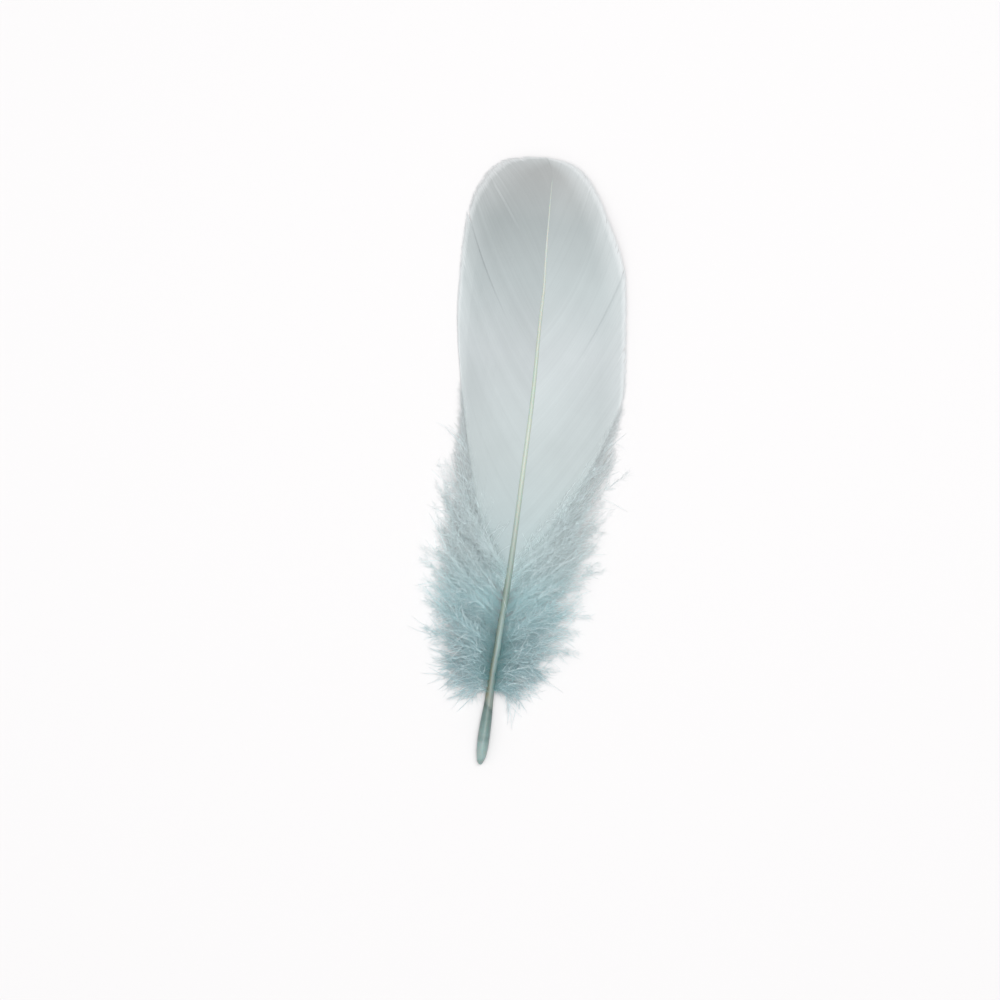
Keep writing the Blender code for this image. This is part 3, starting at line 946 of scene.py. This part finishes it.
def make_barbules(name, lines, heights, shares, first_share, tones, per_metre, rng):
    """The soft hairs of the down, on both sides of every rib and spread up and down. The ribs'
    points lie at the given shares of them, and each carries hairs from its first share on."""
    centres, ahead, sideways, up = barb_frames(lines, heights)
    lengths = np.linalg.norm(np.diff(centres, axis=1), axis=-1).sum(axis=1)
    counts = (lengths * (1 - first_share) * per_metre).astype(int)
    rib = np.repeat(np.arange(len(lines)), counts)
    share = first_share[rib] + (1 - first_share[rib]) * rng.random(len(rib))
    low = np.searchsorted(shares, share, side="right") - 1
    part = ((share - shares[low]) / (shares[low + 1] - shares[low]))[:, None]

    def between(values):
        return values[rib, low] * (1 - part) + values[rib, low + 1] * part

    spread = rng.uniform(*BARBULE_SPREAD, len(rib))
    roll = rng.normal(0, BARBULE_ROLL, len(rib))
    hand = rng.choice((-1, 1), len(rib))
    out = (
        between(ahead) * np.cos(spread)[:, None]
        + between(sideways) * (hand * np.sin(spread) * np.cos(roll))[:, None]
        + between(up) * (np.sin(spread) * np.sin(roll))[:, None]
    )
    slope, first = LENGTH_SWELL
    full = np.sin(math.pi * np.minimum(1, share * slope + first))
    full = ROOT_LENGTH + (1 - ROOT_LENGTH) * full
    long = BARBULE_LENGTH * full * rng.uniform(*BARBULE_LENGTHS, len(rib))
    bends = between(ahead) * rng.uniform(*BARBULE_SWEEP, len(rib))[:, None]
    bends += rng.uniform(-BARBULE_BEND, BARBULE_BEND, (len(rib), 3))
    shade = tones[rib] + rng.normal(0, BARBULE_TONES, len(rib))
    hairs = (between(centres), out, long, bends, shade, share)
    return hair_array(barbule_shape(), name, BARBULE_RADIUS, *hairs)


def make_wisps(name, lines, heights, shares, first_share, per_rib, rng):
    """Pale wisps of hairs that cling together, each a soft curve that leaves its rib."""
    centres, ahead, sideways, up = barb_frames(lines, heights)
    rib = np.repeat(np.arange(len(lines)), per_rib)
    share = first_share[rib] + (1 - first_share[rib]) * rng.uniform(*WISP_ROOTS, len(rib))
    step = np.clip(np.searchsorted(shares, share), 1, len(shares) - 1)
    spread = rng.normal(0, WISP_SPREAD, len(rib))[:, None]
    rise = rng.uniform(*WISP_RISE, len(rib))[:, None]
    out = ahead[rib, step] * np.cos(spread) + sideways[rib, step] * np.sin(spread)
    out += up[rib, step] * rise
    long = WISP_LENGTH * rng.uniform(*WISP_LENGTHS, len(rib))
    bends = rng.uniform(-WISP_BEND, WISP_BEND, (len(rib), 3)) * WISP_BENDS
    tones = rng.uniform(*WISP_TONES, len(rib))
    hairs = (centres[rib, step], out, long, bends, tones, share)
    return hair_array(straight_hair(RIB_SIDES, WISP_STEPS), name, WISP_RADIUS, *hairs)


def down_material():
    settings = {
        "Roughness": 0.75,
        "Specular IOR Level": 0.25,
        "Sheen Weight": 0.3,
        "Sheen Roughness": 0.5,
    }
    material, tree, shader = new_material("dyed down", settings)
    along, where = along_feather(tree)
    # The down's colour along the feather, with painted shade near the quill
    colour = add_ramp(tree, add_maths(tree, "DIVIDE", along, SHAFT_END), DOWN_COLOURS_AND_SHADE)
    noise = add_noise(tree, where, Scale=110.0, Detail=2.0)
    colour = add_shades(tree, colour, noise, DOWN_SHADES, DOWN_CLOUDS)
    tone = read_attribute(tree, "tone")
    colour = add_mix(tree, add_range(tree, tone, *WISP_TINTS), colour, WISPS)
    foot = multiply(
        tree,
        add_range(tree, read_attribute(tree, "reach"), *FOOT_REACH),
        add_range(tree, along, *FOOT_ALONG),
        FOOT_STRENGTH,
    )
    colour = add_mix(tree, foot, colour, FOOT)
    tree.links.new(colour, shader.inputs["Base Color"])
    return material


def draw_locks():
    """How far each lock reaches, as in the solids, and how high it lofts."""
    rng = random.Random(LOCK_SEED)
    locks = []
    for _ in range(2 * LOCKS_PER_SIDE):
        reach = rng.uniform(LOCK_SHORTEST, 1)
        loft = LOCK_LOFT * rng.uniform(LOWEST_LOFT, 1)
        locks.append((reach, loft))
    return locks[:LOCKS_PER_SIDE], locks[LOCKS_PER_SIDE:]


down_finish = down_material()
rib_shares = np.linspace(0, 1, RIB_STEPS + 1)
sides = (("left", -1, LEFT_DOWN), ("right", 1, RIGHT_DOWN))
for (name, side, down), locks in zip(sides, draw_locks()):
    rng = np.random.default_rng(LOCK_SEED + len(name))
    lines, heights = lay_ribs(down, locks, rng)
    tones = rng.normal(*RIB_TONES, len(lines))
    half = len(lines) // 2
    pieces = [make_ribs(f"down_ribs_{name}", lines, heights, tones)]
    for level, part in (("low", slice(0, half)), ("high", slice(half, None))):
        bare = np.full(len(lines[part]), BARE_ROOT)
        rows = (lines[part], heights[part], rib_shares, bare)
        shades = (tones[part], BARBULES_PER_METRE)
        hairs = make_barbules(f"down_{name}_{level}", *rows, *shades, rng)
        wisps = make_wisps(f"wisps_{name}_{level}", *rows, WISPS_PER_RIB, rng)
        pieces += [hairs, wisps]
    leaves, lines, heights, tones = barbs[name]
    webbed = read_curve(WEB_SHARE[side], leaves)[:, 0]
    loose = webbed < LOOSE_UNDER
    first = np.maximum(0, webbed - WEB_COVER)
    rows = (lines[loose], heights[loose], barb_shares(), first[loose])
    shades = (tones[loose], VANE_BARBULES_PER_METRE)
    hairs = make_barbules(f"vane_down_{name}", *rows, *shades, rng)
    wispy = webbed < WISPY_UNDER
    rows = (lines[wispy], heights[wispy], barb_shares(), first[wispy])
    wisps = make_wisps(f"vane_wisps_{name}", *rows, WISPS_PER_LOOSE_BARB, rng)
    pieces += [hairs, wisps]
    for piece in pieces:
        piece.data.materials.append(down_finish)
        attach(piece, "root")
        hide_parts("feather")

# The table, the light and the camera. The feather lies on a plain pale surface under soft
# light from the right, and the camera looks straight down on it.
TABLE_SIZE = 6.0
bm = bmesh.new()
bmesh.ops.create_grid(bm, x_segments=1, y_segments=1, size=TABLE_SIZE / 2)
mesh = bpy.data.meshes.new("table")
bm.to_mesh(mesh)
bm.free()
table = object_of(mesh, "table")
settings = {"Base Color": (0.742, 0.733, 0.736), "Roughness": 0.9, "Specular IOR Level": 0.1}
table.data.materials.append(new_material("pale table", settings)[0])

# The place of each light, its size and its watts
LIGHTS = (
    ("key", (0.55, 0.45, 1.35), 0.7, 4.8),
    ("fill", (-0.9, -0.2, 1.2), 1.2, 3.6),
    ("overhead", (0.0, 0.0, 1.6), 0.9, 17.0),
)
for name, where, size, watts in LIGHTS:
    lamp = bpy.data.lights.new(name, "AREA")
    lamp.size = size
    lamp.energy = watts
    light = bpy.data.objects.new(name, lamp)
    light.location = where
    light.rotation_euler = (-Vector(where)).to_track_quat("-Z", "Y").to_euler()
    bpy.context.scene.collection.objects.link(light)
world = bpy.data.worlds.new("studio")
world.use_nodes = True
background = world.node_tree.nodes["Background"]
background.inputs["Color"].default_value = (1.0, 1.0, 1.0, 1)
background.inputs["Strength"].default_value = 0.45
bpy.context.scene.world = world

VIEW_WIDTH = 0.2699  # what the picture takes in at the height of the feather's middle
VIEW_HEIGHT = 0.004
CAMERA_HEIGHT = 1.2
CAMERA_ALONG, CAMERA_ACROSS = 0.0717, -0.0020  # the picture's middle
FEATHER_TURN = math.radians(5.916)  # clockwise, in the picture
camera_data = bpy.data.cameras.new("camera")
camera_data.lens = camera_data.sensor_width * (CAMERA_HEIGHT - VIEW_HEIGHT) / VIEW_WIDTH
camera = bpy.data.objects.new("camera", camera_data)
camera.location = Vector(place(CAMERA_ALONG, CAMERA_ACROSS, CAMERA_HEIGHT))
camera.rotation_euler = (0, 0, FEATHER_TURN)
bpy.context.scene.collection.objects.link(camera)
bpy.context.scene.camera = camera
bpy.context.scene.view_settings.view_transform = "Standard"
